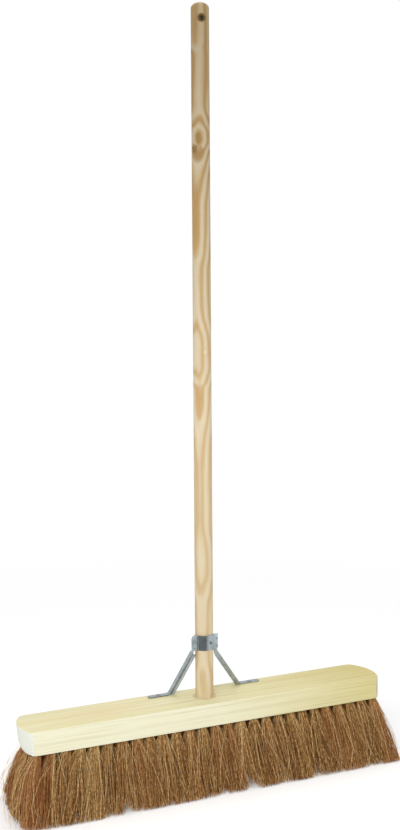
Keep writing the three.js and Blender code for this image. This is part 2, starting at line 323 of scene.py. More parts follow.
def curveOf(value, points):  # a smooth curve through (place, level) points
    places, levels = zip(*points)
    start, length = places[0], places[-1] - places[0]
    low, high = min(levels), max(levels)
    spotsAndHoleShade = [((place - start) / length, (level - low) / (high - low)) for place, level in points]
    node = addNode("FloatCurve", {"Value": rangeOf(value, places[0], places[-1])})
    curve = node.mapping.curves[0]
    curve.points[0].location = spotsAndHoleShade[0]
    curve.points[1].location = spotsAndHoleShade[-1]
    for spot in spotsAndHoleShade[1:-1]:
        curve.points.new(*spot)
    for point in curve.points:
        point.handle_type = "AUTO_CLAMPED"
    node.mapping.update()
    return rangeOf(node.outputs["Value"], 0, 1, low, high)


def objectCoords(tree):
    coords = addNode("TexCoord", {}, tree).outputs["Object"]
    parts = addNode("SeparateXYZ", {0: coords}).outputs
    return coords, parts["X"], parts["Y"], parts["Z"]


def facingOf(tree):  # where the surface faces, in its X, Y and Z parts
    normal = addNode("NewGeometry", {}, tree).outputs["Normal"]
    return addNode("SeparateXYZ", {0: normal}).outputs


def awayFrom(first, second, middle, halfSize):  # nought in a spot's middle, one at its rim
    squares = []
    for value, centre, half in zip((first, second), middle, halfSize):
        off = sums("DIVIDE", sums("SUBTRACT", value, centre), half)
        squares.append(squared(off))
    return sums("ADD", *squares)


def bumpOf(height, look):
    return addNode("Bump", {"Height": height, **look["bump"]}).outputs["Normal"]


frontTurn = math.radians(23.3)  # how far the front as seen is turned from the frame's


def sideOf(x, y):  # a place's distance to the side, as the front is seen
    return sums("SUBTRACT", sums("MULTIPLY", x, math.cos(frontTurn)),
                sums("MULTIPLY", y, math.sin(frontTurn)))


# pine of the handle: broad year rings, cut so that they show as long ovals and wedges

pineLook = dict(
    rings=[(0.0, srgb(234, 219, 190)), (0.18, srgb(231, 213, 179)), (0.38, srgb(215, 184, 134)),
           (0.58, srgb(204, 166, 110)), (0.8, srgb(226, 204, 164)), (1.0, srgb(234, 219, 190))],
    # height up the handle and the count of rings at the figure's middle: whole is pale, half is tan
    count=[(0.13, 1.25), (0.165, 1.4), (0.2, 1.0), (0.276, 1.0), (0.311, 1.5), (0.363, 2.0),
           (0.42, 1.65), (0.5, 1.65), (0.53, 1.75), (0.556, 2.0), (0.574, 2.25), (0.59, 2.42),
           (0.607, 2.5), (0.622, 2.62), (0.632, 3.0), (0.642, 3.4), (0.68, 4.0), (0.717, 3.5),
           (0.745, 3.05), (0.8, 3.0), (0.825, 3.3), (0.85, 3.5), (0.9, 3.58), (0.925, 3.75),
           (0.95, 4.0), (0.972, 4.5), (0.985, 5.0), (0.998, 5.5), (1.015, 5.0), (1.028, 4.5),
           (1.05, 4.0), (1.117, 4.0), (1.14, 4.45), (1.2, 4.5)],
    # height and how far the figure's middle lies to the side, as the front is seen
    middle=[(0.13, 0.0), (0.24, -0.003), (0.36, -0.004), (0.45, -0.006), (0.56, -0.0055),
            (0.607, -0.005), (0.68, -0.0085), (0.8, -0.009), (0.9, -0.008), (0.998, -0.003),
            (1.05, -0.0025), (1.117, -0.0018), (1.125, -0.0035), (1.14, -0.0066), (1.2, -0.007)],
    ringsAcross=118, roundness=0.009, wander=dict(stretch=(70, 70, 11)), unevenness=0.22,
    # lower down the rings are fainter, nearer to this colour: heights, and how much at each
    faint=srgb(227, 209, 173), faintSpan=(0.45, 0.95, 0.42, 0.0),
    # spots, the last of them painted shade in the hang hole: place to the side and height, half width
    # and height, colour, strength, ragged edge
    spotsAndHoleShade=[((0.005, 0.68), (0.0022, 0.003), srgb(243, 226, 176), 0.8, 0.9),
           ((-0.0045, 0.606), (0.0068, 0.03), srgb(206, 160, 104), 0.5, 0.4),
           ((-0.007, 0.875), (0.006, 0.05), srgb(206, 162, 100), 0.5, 0.5),
           ((-0.0045, 0.976), (0.009, 0.0135), srgb(186, 148, 90), 0.7, 0.4),
           ((-0.0095, 0.982), (0.0032, 0.008), srgb(138, 104, 60), 0.55, 0.9),
           ((-0.0035, 0.998), (0.0048, 0.01), srgb(182, 146, 86), 0.8, 0.5),
           # painted shade in and round the hang hole
           ((0.0022, 1.1713), (0.0072, 0.0064), srgb(136, 108, 58), 0.9, 0.3)],
    spotRim=(0.5, 1.3), ragged=dict(stretch=(260, 260, 90)),
    fibre=dict(stretch=(900, 900, 14), detail=4, roughness=0.6),
    fibreTones=[(0.3, grey(0.88)), (0.7, grey(1.0))], fibreShare=0.7,
    # the upper handle is greyer: colour, from and to which height
    upperGrey=srgb(191, 185, 174), upperGreySpan=(0.6, 1.15),
    bump=dict(Strength=0.12, Distance=0.4 * mm),
    surface={"Roughness": 0.6, "Specular IOR Level": 0.25},
)


def pineMaterial():
    look = pineLook
    material, shader = newMaterial("pine")
    coords, x, y, z = objectCoords(material.node_tree)
    side = sideOf(x, y)
    off = sums("SUBTRACT", side, curveOf(z, look["middle"]))
    away = sums("SQRT", sums("ADD", squared(off), look["roundness"] ** 2))
    away = sums("SUBTRACT", away, look["roundness"])
    fall = sums("MULTIPLY", away, look["ringsAcross"])
    wander = swingOf(noiseOf(coords, **look["wander"]), look["unevenness"])
    rings = sums("ADD", curveOf(z, look["count"]), wander)
    rings = sums("SUBTRACT", rings, fall)
    colour = rampOf(sums("FRACT", rings), look["rings"])
    colour = blendOf(rangeOf(z, *look["faintSpan"]), colour, look["faint"])
    ragged = noiseOf(coords, **look["ragged"])
    for middle, halfSize, spotColour, strength, edge in look["spotsAndHoleShade"]:
        away = awayFrom(side, z, middle, halfSize)
        away = sums("ADD", away, swingOf(ragged, edge))
        spot = rangeOf(away, *look["spotRim"], strength, 0.0)
        colour = blendOf(spot, colour, spotColour)
    fibre = noiseOf(coords, **look["fibre"])
    shade = rampOf(fibre, look["fibreTones"])
    colour = blendOf(look["fibreShare"], colour, shade, "MULTIPLY")
    upperGrey = rangeOf(z, *look["upperGreySpan"])
    colour = blendOf(upperGrey, colour, look["upperGrey"], "MULTIPLY")
    feed(shader, {"Base Color": colour, "Normal": bumpOf(fibre, look), **look["surface"]})
    return material


# pale wood of the stock: fine grain along its length, end grain at both ends; the front and the ends are
# painted paler, as painted light

endGrainAndLight = srgb(236, 239, 229)
stockLook = dict(
    broad=dict(stretch=(2.2, 60, 60), roughness=0.55, distortion=0.4),
    broadTones=[(0.3, srgb(230, 220, 166)), (0.7, srgb(240, 234, 200))],
    # the front is painted paler, as painted light: depth from and to, how much; then along the length,
    # and what is left of it
    front=srgb(246, 246, 222), paintedLightDepth=(-37.5 * mm, -36 * mm, 0.7, 0.0),
    paintedLightLength=(-0.15, 0.22, 1.0, 0.45),
    fine=dict(stretch=(7, 420, 420), detail=4, roughness=0.6),
    fineTones=[(0.28, srgb(205, 190, 138)), (0.5, grey(0.98)), (1.0, grey(1.0))], fineShare=0.35,
    veins=dict(stretch=(3.5, 150, 150), shift=(4, 0, 0), detail=2, distortion=0.2),
    veinTones=[(0.36, srgb(214, 200, 160)), (0.43, grey(1.0)), (1.0, grey(1.0))], veinShare=0.16,
    # one warm patch on the top, left of the handle
    patch=srgb(232, 206, 158), patchStretch=(9, 30, 30), patchShift=(1.6, 0, -4.0), patchShare=0.6,
    # the ring round the handle, a darker ring outside and the socket's chamfer painted pale as painted
    # light: outer radius, colour
    rings=[(18 * mm, srgb(178, 152, 106)), (16.7 * mm, srgb(240, 230, 196))], ringFade=0.4 * mm,
    # end grain, in a near-white colour that is partly painted light: where the wood faces endwards, the
    # heart's place, the rings' width
    endFacing=(0.22, 0.42), heart=(0.012, 0.045), endRing=4.2 * mm, endWander=0.5, endSpan=(0.3, 0.7),
    endTones=[(0.0, endGrainAndLight), (0.55, endGrainAndLight), (0.85, srgb(228, 228, 208)), (1.0, endGrainAndLight)],
    # the right half is more olive: along the length from and to, how much at each
    olive=srgb(221, 209, 136), oliveLength=(0.02, 0.28, 0.0, 0.65),
    bump=dict(Strength=0.18, Distance=0.5 * mm),
    surface={"Roughness": 0.62},
)


def stockMaterial():
    look = stockLook
    material, shader = newMaterial("stock_wood")
    coords, x, y, z = objectCoords(material.node_tree)
    fine, broad, veins = (noiseOf(coords, **look[key]) for key in ("fine", "broad", "veins"))
    colour = rampOf(broad, look["broadTones"])
    # painted light: the front is made paler, most towards the left
    front = sums("MULTIPLY", rangeOf(y, *look["paintedLightDepth"]), rangeOf(x, *look["paintedLightLength"]))
    colour = blendOf(front, colour, look["front"])
    for grain, key in ((fine, "fine"), (veins, "vein")):
        lines = rampOf(grain, look[key + "Tones"])
        colour = blendOf(look[key + "Share"], colour, lines, "MULTIPLY")
    inputs = {"Vector": stretched(coords, look["patchStretch"], look["patchShift"])}
    patch = addNode("TexGradient", inputs, gradient_type="SPHERICAL").outputs["Fac"]
    patch = sums("MULTIPLY", patch, look["patchShare"])
    colour = blendOf(patch, colour, look["patch"])
    # a darker ring round the handle, and inside it the socket's chamfer painted pale, as painted light
    fromAxis = sums("SQRT", sums("ADD", squared(x), squared(y)))
    for reach, ringColour in look["rings"]:
        inside = rangeOf(fromAxis, reach, reach - look["ringFade"])
        colour = blendOf(inside, colour, ringColour)
    # the ends: end-grain rings, painted near white as painted light
    ends = rangeOf(sums("ABSOLUTE", facingOf(material.node_tree)["X"]), *look["endFacing"])
    heart = awayFrom(y, z, look["heart"], (look["endRing"], look["endRing"]))
    heart = sums("ADD", sums("SQRT", heart), swingOf(broad, look["endWander"], look["endSpan"]))
    endColour = rampOf(sums("FRACT", heart), look["endTones"])
    colour = blendOf(ends, colour, endColour)
    rightward = rangeOf(x, *look["oliveLength"])
    colour = blendOf(rightward, colour, look["olive"], "MULTIPLY")
    feed(shader, {"Base Color": colour, "Normal": bumpOf(fine, look), **look["surface"]})
    return material


# galvanised sheet of the stay, and the darker steel of its fasteners

def steelTones(stain, dull, bright):  # from the darkest of the clouds to the palest
    return [(0.28, srgb(*stain)), (0.45, srgb(*dull)), (0.72, srgb(*bright))]


steelLook = dict(
    zinc=dict(tones=steelTones((124, 134, 137), (153, 163, 166), (177, 187, 189)),
              roughness=0.4, metal=0.35),
    rivet=dict(tones=steelTones((108, 115, 118), (132, 140, 143), (152, 160, 163)),
               roughness=0.4, metal=0.7),
    fastener=dict(tones=steelTones((72, 79, 84), (92, 101, 107), (112, 122, 128)),
                  roughness=0.42, metal=0.9),
)
steelGrain = dict(
    cloud=dict(stretch=(90, 90, 90), detail=4, roughness=0.6),
    brushed=dict(stretch=(60, 60, 900)),
    brushedTones=[(0.3, grey(0.86)), (0.7, grey(1.0))], brushedShare=0.25,
    dullSpan=(0.3, 0.7), dullExtra=0.14, bump=dict(Strength=0.05, Distance=0.2 * mm),
)


# shading paints the stay's light and shade into its colour
def steelMaterial(name, look, shading=None):  # shading adds what the stay alone shows
    grain = steelGrain
    material, shader = newMaterial(name)
    coords = objectCoords(material.node_tree)
    cloud = noiseOf(coords[0], **grain["cloud"])
    brushed = noiseOf(coords[0], **grain["brushed"])
    colour = rampOf(cloud, look["tones"])
    lines = rampOf(brushed, grain["brushedTones"])
    colour = blendOf(grain["brushedShare"], colour, lines, "MULTIPLY")
    if shading:
        colour = shading(colour, *coords)
    dullest = look["roughness"] + grain["dullExtra"]
    roughness = rangeOf(cloud, *grain["dullSpan"], dullest, look["roughness"])
    feed(shader, {"Base Color": colour, "Metallic": look["metal"], "Roughness": roughness,
                  "Normal": bumpOf(brushed, grain)})
    return material


# coir: each fibre has its own tone and warmth, and is painted paler towards its root as painted light

coirLook = dict(
    tones=[(0.0, srgb(75, 45, 22)), (0.3, srgb(147, 100, 52)), (0.55, srgb(192, 142, 80)),
           (0.8, srgb(227, 184, 115)), (1.0, srgb(251, 225, 170))],
    flecks=dict(stretch=(600, 600, 170), detail=2), fleckTone=0.48, fleckSpan=(0.25, 0.75),
    # painted light towards the root: along a fibre from and to, how much paler at each
    rootLight=(0.0, 0.5, 0.12, 0.0),
    rust=srgb(170, 95, 48), surface={"Roughness": 0.55, "Specular IOR Level": 0.3},
)


def coirMaterial():
    look = coirLook
    material, shader = newMaterial("coir")
    fibre = addNode("Attribute", {}, material.node_tree, attribute_name="fibre")
    parts = addNode("SeparateColor", {0: fibre.outputs["Color"]}).outputs
    flecks = noiseOf(objectCoords(material.node_tree)[0], **look["flecks"])
    flecks = swingOf(flecks, look["fleckTone"], look["fleckSpan"])
    # painted light: paler towards the root, against the stock's shade
    rootLight = rangeOf(parts["Green"], *look["rootLight"])
    colour = rampOf(sums("ADD", parts["Red"], flecks, rootLight), look["tones"])
    colour = blendOf(parts["Blue"], colour, look["rust"])
    feed(shader, {"Base Color": colour, **look["surface"]})
    return material


pine = pineMaterial()
stockWood = stockMaterial()
rivetSteel = steelMaterial("rivet_steel", steelLook["rivet"])
fastenerSteel = steelMaterial("fastener_steel", steelLook["fastener"])
coir = coirMaterial()
print("materials made")


# handle: a turned stick with a domed top and a chamfered hang hole

handleSize = dict(
    radius=14.3 * mm, topRadius=13.6 * mm, sides=96, footChamfer=1.5 * mm, footSegments=2,
    dome=9 * mm, domeSteps=10, domeFlat=0.6, holeRadius=3.3 * mm, holeDrop=24 * mm,
    holeChamfer=3.4 * mm, holeSides=48, holeTurn=9, holeRoom=12 * mm,
    flareReach=3,  # the cutter opens over this many chamfers, well past the surface
)


def flaredCutter(name, sides, radius, halfLength, flare):  # a cylinder about Z that opens at both ends
    cutter = addCylinder(name, sides, radius, -halfLength, halfLength)
    for end in (-1, 1):
        startEdit(cutter)
        pickEnd(cutter, end)
        pull((0, 0, end * flare))
        widen((radius + flare) / radius)
        endEdit()
    return cutter


def makeHandle():
    size = handleSize
    low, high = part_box("handle")
    shoulder = high.z - size["dome"]
    handle = addCylinder("handle_stick", size["sides"], size["radius"], low.z, shoulder)
    startEdit(handle)
    pickEnd(handle, 1)
    widen(size["topRadius"] / size["radius"])  # the stick is a little thinner at the top
    raiseDome(size["dome"], size["domeSteps"], size["domeFlat"])
    pick(handle, lambda e: all(near(v.co.z, low.z) for v in e.verts), "EDGE")
    bpy.ops.mesh.bevel(offset=size["footChamfer"], segments=size["footSegments"])
    holeHeight = high.z - size["holeDrop"]
    for level in (holeHeight - size["holeRoom"], holeHeight + size["holeRoom"]):
        cutThrough((0, 0, level), (0, 0, 1))  # keeps the hole's faces near the hole
    endEdit()
    cutter = flaredCutter("hole_cutter", size["holeSides"], size["holeRadius"],
                          size["topRadius"] - size["holeChamfer"],
                          size["flareReach"] * size["holeChamfer"])
    turn = turnAbout("Z", -math.radians(size["holeTurn"])) @ turnAbout("X", quarterTurn)
    cutter.matrix_world = Matrix.Translation((0, 0, holeHeight)) @ turn
    cutWith(handle, cutter)
    smooth(handle, woodAngle)
    dress(handle, pine, "pine", "handle")


makeHandle()


# stock: a planed block with bowed ends, eased edges and a socket for the handle

stockSize = dict(
    endRadius=62 * mm, leftForward=1.5 * mm, rightForward=8 * mm, strips=24,
    leanFront=3.3 * mm, leanBack=9 * mm, leanLevel=10 * mm, leanShare=0.37,
    corner=9 * mm, cornerSegments=6, edge=1.6 * mm, edgeSegments=4,
    socketRadius=14.6 * mm, socketDepth=26 * mm, socketChamfer=2 * mm, socketSides=72,
)
stockLow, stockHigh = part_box("stock")
stockLength, stockWidth = stockHigh.x - stockLow.x, stockHigh.y - stockLow.y


def endDrawnBack(end, y, inset=0.0):  # the bowed ends are fullest in front of the middle
    radius = stockSize["endRadius"] - inset
    forward = stockSize["leftForward"] if end < 0 else stockSize["rightForward"]
    return stockSize["endRadius"] - math.sqrt(radius ** 2 - (y + forward) ** 2)


def leftLean(y):  # the left end is cut under, most at the back
    share = (y - stockLow.y) / stockWidth
    return stockSize["leanFront"] + (stockSize["leanBack"] - stockSize["leanFront"]) * share


def makeStock():
    size = stockSize
    low, high = stockLow, stockHigh
    beyond = stockLength / 4  # further out than this is an end
    leanTop = low.z + size["leanLevel"]
    strips = [low.y + stockWidth * strip / size["strips"] for strip in range(size["strips"] + 1)]
    stock = addBlock("stock_block", high - low, (low + high) / 2)
    startEdit(stock)
    for place in strips[1:-1]:
        cutThrough((0, place, 0), (0, 1, 0))
    cutThrough((0, 0, leanTop), (0, 0, 1))
    for end in (-1, 1):  # each strip's end is drawn back to the bow
        for place in strips:
            pick(stock, lambda v: near(v.co.y, place) and v.co.x * end > beyond)
            slide(-end * endDrawnBack(end, place))
    for place in strips:
        for level, share in ((low.z, 1.0), (leanTop, size["leanShare"])):
            pick(stock, lambda v: near(v.co.y, place) and near(v.co.z, level) and v.co.x < -beyond)
            slide(leftLean(place) * share)
    pick(stock, lambda e: abs(e.verts[0].co.z - e.verts[1].co.z) > size["leanLevel"] / 2
         and near(abs(e.verts[0].co.y), stockWidth / 2), "EDGE")  # the four upright corners
    bpy.ops.mesh.bevel(offset=size["corner"], segments=size["cornerSegments"])
    endEdit()
    easeEdges(stock, size["edge"], size["edgeSegments"], bevelAngle["wood"])
    socket = flaredCutter("socket_cutter", size["socketSides"], size["socketRadius"],
                          size["socketDepth"], size["socketChamfer"])
    socket.matrix_world = Matrix.Translation((0, 0, high.z - size["socketChamfer"]))
    cutWith(stock, socket)
    cleanUp(stock)
    smooth(stock, woodAngle)
    dress(stock, stockWood, "stock_wood", "stock")


makeStock()


# stay: two pressings of thin sheet, each with half a collar, a leg with a folded wall, and a foot

staySize = dict(
    sheet=1.5 * mm, gap=0.3 * mm, edge=0.25 * mm, edgeSegments=2,
    # collar
    split=-7 * mm, foldRadius=0.5 * mm, foldSteps=5, bandSteps=40,
    collarBottom=78 * mm, frontStrap=23.5 * mm, rearStrap=19.5 * mm, earDrop=2.5 * mm,
    leftEar=8 * mm, rightEar=4 * mm,
    # legs and feet
    strip=10 * mm, legInset=2.5 * mm, legReach=61.5 * mm, ankleRadius=4 * mm, ankleSteps=6,
    footOffset=11.5 * mm, footLength=35.5 * mm, footMargin=11 * mm, footTip=5 * mm, tipSegments=8,
    # the legs' folded walls
    wall=7 * mm, wallNotch=3 * mm, wallNeck=4.5 * mm, notchNeck=1.2 * mm, wallRunout=3 * mm,
    wallClear=1.4 * mm, gussetRun=8 * mm, gussetDrop=4 * mm, gussetNeck=5.3 * mm,
)
earGap = (staySize["gap"] + staySize["sheet"]) / 2
bandRadius = handleSize["radius"] + staySize["gap"] + staySize["sheet"] / 2
foldLine = staySize["foldRadius"] + staySize["sheet"] / 2
collarFoot = stockHigh.z + staySize["collarBottom"]
kneeLevel = collarFoot - staySize["earDrop"]
footLevel = stockHigh.z + staySize["gap"] + staySize["sheet"] / 2
footBack = stockHigh.y - staySize["footMargin"]


def earPlane(facing):  # facing is -1 for the front pressing and 1 for the rear one
    return staySize["split"] + facing * earGap


def foldCentre(facing):
    out = facing * earPlane(facing) + foldLine
    return math.sqrt((bandRadius + foldLine) ** 2 - out ** 2), out


foldEnd = max(foldCentre(-1)[0], foldCentre(1)[0])


def earEnd(side):
    return foldEnd + (staySize["leftEar"] if side < 0 else staySize["rightEar"])


def kneeOf(side):  # where a leg leaves its collar, as if each were the right one
    return Vector((earEnd(side) - staySize["legInset"], 0, kneeLevel))


def bendOf(side):  # where a leg turns into its foot
    return Vector((staySize["legReach"] + side * staySize["footOffset"], 0, footLevel))


def arcPoints(centre, radius, start, stop, steps):
    angles = [start + (stop - start) * i / steps for i in range(steps + 1)]
    return [Vector((centre[0] + radius * math.cos(a), centre[1] + radius * math.sin(a))) for a in angles]


def pulledSheet(name, start, path):  # an edge pulled along a path, point by point
    sheet = addPlane(name, 1)
    startEdit(sheet)
    pick(sheet, lambda v: v.co.x > 0)
    bpy.ops.mesh.delete(type="VERT")
    endEdit()
    for vertex, place in zip(sheet.data.vertices, start):
        vertex.co = place
    startEdit(sheet)
    bpy.ops.mesh.select_all(action="SELECT")
    for before, after in zip(path, path[1:]):
        pull(after - before)
    endEdit()
    return sheet


def thicken(sheet):
    size = staySize
    cleanUp(sheet)
    applyModifier(sheet, "SOLIDIFY", thickness=size["sheet"], offset=0, use_even_offset=True)
    easeEdges(sheet, size["edge"], size["edgeSegments"], bevelAngle["sheet"])
    cleanUp(sheet)
    return sheet


def makeBand(side, facing):  # half of the collar, with an ear at each end
    size = staySize
    along, out = foldCentre(facing)
    turn = math.atan2(out, along)
    flat = facing * earPlane(facing)
    line = [Vector((-earEnd(-side), flat))]
    line += arcPoints((-along, out), foldLine, -quarterTurn, -turn, size["foldSteps"])
    line += arcPoints((0, 0), bandRadius, math.pi - turn, turn, size["bandSteps"])[1:]
    line += arcPoints((along, out), foldLine, math.pi + turn, 3 * quarterTurn, size["foldSteps"])[1:]
    line += [Vector((earEnd(side), flat))]
    path = [Vector((side * p.x, facing * p.y, collarFoot)) for p in line]
    height = Vector((0, 0, size["frontStrap"] if facing < 0 else size["rearStrap"]))
    return thicken(pulledSheet("band", [path[0], path[0] + height], path))


def makeLeg(side, facing):  # a strip that ends in the foot, and the wall folded from its front edge
    size = staySize
    front = earPlane(facing)
    back = front - size["sheet"] / 2 + size["strip"]
    lean = footBack - (front - size["sheet"] / 2 + size["strip"] / 2)
    knee, bend = kneeOf(side), bendOf(side)
    tip = Vector((bend.x + size["footLength"], 0, footLevel))
    run = (bend - knee).normalized()
    inward = Vector((run.z, 0, -run.x))

    def leaned(point, y=0.0):  # the leg goes back as it comes down
        down = min(max((kneeLevel - point.z) / (kneeLevel - footLevel), 0), 1)
        return Vector((side * point.x, y + lean * down, point.z))

    def onLeg(along, depth):
        return knee + run * along + inward * depth

    start, stop = bend - run * size["ankleRadius"], bend + Vector((size["ankleRadius"], 0, 0))
    ankle = []
    for step in range(size["ankleSteps"] + 1):
        t = step / size["ankleSteps"]
        ankle.append(start * (1 - t) ** 2 + bend * 2 * t * (1 - t) + stop * t ** 2)
    path = [leaned(p) for p in [knee, *ankle, tip]]
    strip = pulledSheet("strip", [leaned(knee, front), leaned(knee, back)], path)
    startEdit(strip)
    pick(strip, lambda v: near(v.co.x, side * tip.x))
    bpy.ops.mesh.bevel(offset=size["footTip"], segments=size["tipSegments"], affect="VERTICES")
    endEdit()

    collarEdge = collarFoot + size["sheet"]
    heelLevel = stockHigh.z + size["wallClear"]
    heel = (knee.z - run.x * size["wall"] - heelLevel) / -run.z  # the wall ends just over the stock
    shin = (bend - knee).length - size["wallRunout"] / 2
    outline = [Vector((earEnd(side), 0, collarEdge)), knee, onLeg(shin, 0), onLeg(heel, size["wall"])]
    if facing > 0:  # the rear pressing is notched under its ear
        outline += [onLeg(size["wallNotch"], size["wall"]), onLeg(size["wallNotch"], size["notchNeck"]),
                    Vector((knee.x - size["notchNeck"], 0, collarEdge))]
    else:  # the front pressing widens up to its collar
        outline += [onLeg(size["gussetRun"], size["wall"]),
                    Vector((knee.x - size["wallNeck"], 0, collarFoot - size["gussetDrop"])),
                    Vector((knee.x - size["gussetNeck"], 0, collarEdge))]
    corners = [leaned(p, front) for p in outline]
    wall = addObject("wall", bpy.data.meshes.new("wall"))
    wall.data.from_pydata(corners, [], [tuple(range(len(corners)))])
    return thicken(strip), thicken(wall)


def makeStayHalf(name, side, facing, node):
    half = makeBand(side, facing)
    for part in makeLeg(side, facing):
        cutWith(half, part, "UNION")
    settle(half, name)
    cleanUp(half)
    smooth(half, metalAngle)
    dress(half, zincSteel, "zinc_steel", node)


# painted light and shade on the stay: a dark band with a bright streak on the collar's front as painted
# reflection, painted shade at the feet, painted shade along the left leg's fold and painted light on its
# wall

stayLightAndShade = dict(
    # the band as the front is seen, a painted dark reflection with a painted bright streak in it, and a
    # pale painted reflection beside it
    bandLeft=-11.5 * mm, bandRight=5.8 * mm, leftFade=0.8 * mm, rightFade=3 * mm,
    above=213 * mm, aboveFade=0.2 * mm, bandFront=(-7 * mm, -8.5 * mm), bandDark=0.26,
    streak=-9.4 * mm, streakHalf=0.9 * mm, streakDark=0.3,
    beside=srgb(200, 217, 230), besideShare=0.2,
    # painted shade at the feet and ankles: heights from and to, shade at each
    foot=(138.5 * mm, 150 * mm, 0.9, 1.0),
    # the left leg's wall: painted shade along its fold, painted light beyond
    foldDark=0.6, foldWidth=2.5 * mm, foldFade=0.4 * mm,
    wallPale=srgb(200, 212, 230), wallShare=0.7,
    wallFacing=(-0.4, -0.6), wallSide=0.5 * mm, wallTop=2 * mm,
)


def darkened(colour, shade):
    return blendOf(1.0, colour, shade, "MULTIPLY")


def shadeCollar(colour, x, y, z):
    look = stayLightAndShade
    side = sideOf(x, y)
    above = rangeOf(z, look["above"], look["above"] + look["aboveFade"])
    fromStreak = sums("ABSOLUTE", sums("SUBTRACT", side, look["streak"]))
    band = sums("MULTIPLY", fadeOver(side, look["bandLeft"], look["leftFade"]),
                fadeOver(side, look["bandRight"], -look["rightFade"]), above,
                rangeOf(y, *look["bandFront"]),
                rangeOf(fromStreak, 0, look["streakHalf"], look["streakDark"], 1.0))
    # painted reflection: the front band darkened, less so at the bright streak
    colour = blendOf(band, colour, darkened(colour, grey(look["bandDark"])))
    # painted reflection: pale and bluish beside the band
    beside = fadeOver(side, look["bandRight"], look["rightFade"], 0, look["besideShare"])
    return blendOf(sums("MULTIPLY", beside, above), colour, look["beside"])


def shadeWall(colour, coords, x, z):
    look = stayLightAndShade
    toLeft = Vector((-1, 1, 1))
    knee, bend = kneeOf(-1) * toLeft, bendOf(-1) * toLeft
    run = (bend - knee).normalized()
    fromKnee = vectorSums("SUBTRACT", coords, knee)["Vector"]
    fromFold = vectorSums("DOT_PRODUCT", fromKnee, (-run.z, 0, run.x))["Value"]
    onWall = sums("MULTIPLY", rangeOf(facingOf(colour.id_data)["Y"], *look["wallFacing"]),
                  rangeOf(x, knee.x, knee.x - look["wallSide"]),
                  rangeOf(z, knee.z, knee.z - look["wallTop"]))
    # painted shade along the fold, painted light on the rest of the wall
    beyond = fadeOver(fromFold, look["foldWidth"], look["foldFade"])
    darker = darkened(colour, grey(look["foldDark"]))
    paler = blendOf(look["wallShare"], colour, look["wallPale"])
    return blendOf(onWall, colour, blendOf(beyond, darker, paler))


def shadeStay(colour, coords, x, y, z):
    colour = shadeCollar(colour, x, y, z)
    # painted shade: darker at the feet and ankles
    dull = rangeOf(z, *stayLightAndShade["foot"])
    dull = addNode("CombineColor", {0: dull, 1: dull, 2: dull}).outputs[0]
    return shadeWall(darkened(colour, dull), coords, x, z)


zincSteel = steelMaterial("zinc_steel", steelLook["zinc"], shadeStay)
makeStayHalf("stay_right_pressing", 1, -1, "stay_right_half")
makeStayHalf("stay_left_pressing", -1, 1, "stay_left_half")


# fasteners: domed heads on short shanks

fastenerSize = dict(sides=24, domeSteps=5, domeFlat=0.5, rim=0.35)
rivetSize = dict(height=0.9 * mm, shank=1.0 * mm)
nailSize = dict(turn=16, radius=2.3 * mm, height=1.2 * mm, shank=1.3 * mm, length=16 * mm)
screwSize = dict(radius=3.5 * mm, height=1.4 * mm, shank=2.0 * mm, length=18 * mm,
                 slotLength=10.5 * mm, slotWidth=1.1 * mm, slotDepth=0.7 * mm)


def domedHead(name, radius, height, shank, shankLength):  # stands on zero, shank below
    size = fastenerSize
    rim = height * size["rim"]
    head = addCylinder(name, size["sides"], radius, 0, rim)
    startEdit(head)
    pickEnd(head, 1)
    raiseDome(height - rim, size["domeSteps"], size["domeFlat"])
    pickEnd(head, -1)
    bpy.ops.mesh.inset(thickness=radius - shank)
    pull((0, 0, -shankLength))
    widen(1 - shank / radius / 2)
    endEdit()
    return head


def makeRivet(node):
    size = rivetSize
    low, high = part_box(node)
    middle = (low + high) / 2
    radius = (high.x - low.x) / 2
    shankLength = (high.y - low.y) / 2 - size["height"]
    heads = []
    for facing, seat in ((-1, low.y + size["height"]), (1, high.y - size["height"])):
        head = domedHead("rivet_head", radius, size["height"], size["shank"], shankLength)
        place = Vector((middle.x, seat, middle.z))
        heads.append(placeAt(head, place, turnAbout("X", -facing * quarterTurn)))
    cutWith(heads[0], heads[1], "UNION")
    rivet = settle(heads[0], node.replace("ear_", ""))
    smooth(rivet, metalAngle)
    dress(rivet, rivetSteel, "fastener_steel", node)


def makeNail():
    size = nailSize
    head = domedHead("nail", size["radius"], size["height"], size["shank"], size["length"])
    reach = bandRadius + staySize["sheet"] / 2 + staySize["gap"]
    turn = turnAbout("Z", math.radians(size["turn"]))
    place = turn @ Vector((0, -reach, collarFoot + staySize["frontStrap"] / 2))
    nail = placeAt(head, place, turn @ turnAbout("X", quarterTurn))
    smooth(nail, metalAngle)
    dress(nail, fastenerSteel, "fastener_steel", "collar_nail")


def makeScrew(node, slotTurn):
    size = screwSize
    low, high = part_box(node)
    name = node.replace("foot_", "stay_")
    screw = domedHead(name, size["radius"], size["height"], size["shank"], size["length"])
    slot = Vector((size["slotLength"], size["slotWidth"], 2 * size["slotDepth"]))  # half in the head
    cutWith(screw, addBlock("slot_cutter", slot, (0, 0, size["height"])))
    place = Vector(((low.x + high.x) / 2, (low.y + high.y) / 2, high.z - size["height"]))
    placeAt(screw, place, turnAbout("Z", math.radians(slotTurn)))
    smooth(screw, metalAngle)
    dress(screw, rivetSteel, "fastener_steel", node)


for side in ("left", "right"):
    for level in ("lower", "upper"):
        makeRivet(f"ear_rivet_{side}_{level}")
makeNail()
makeScrew("foot_screw_left", 35)
makeScrew("foot_screw_right", 70)


# bristles: thousands of coir fibres in tufts, one piece for each row

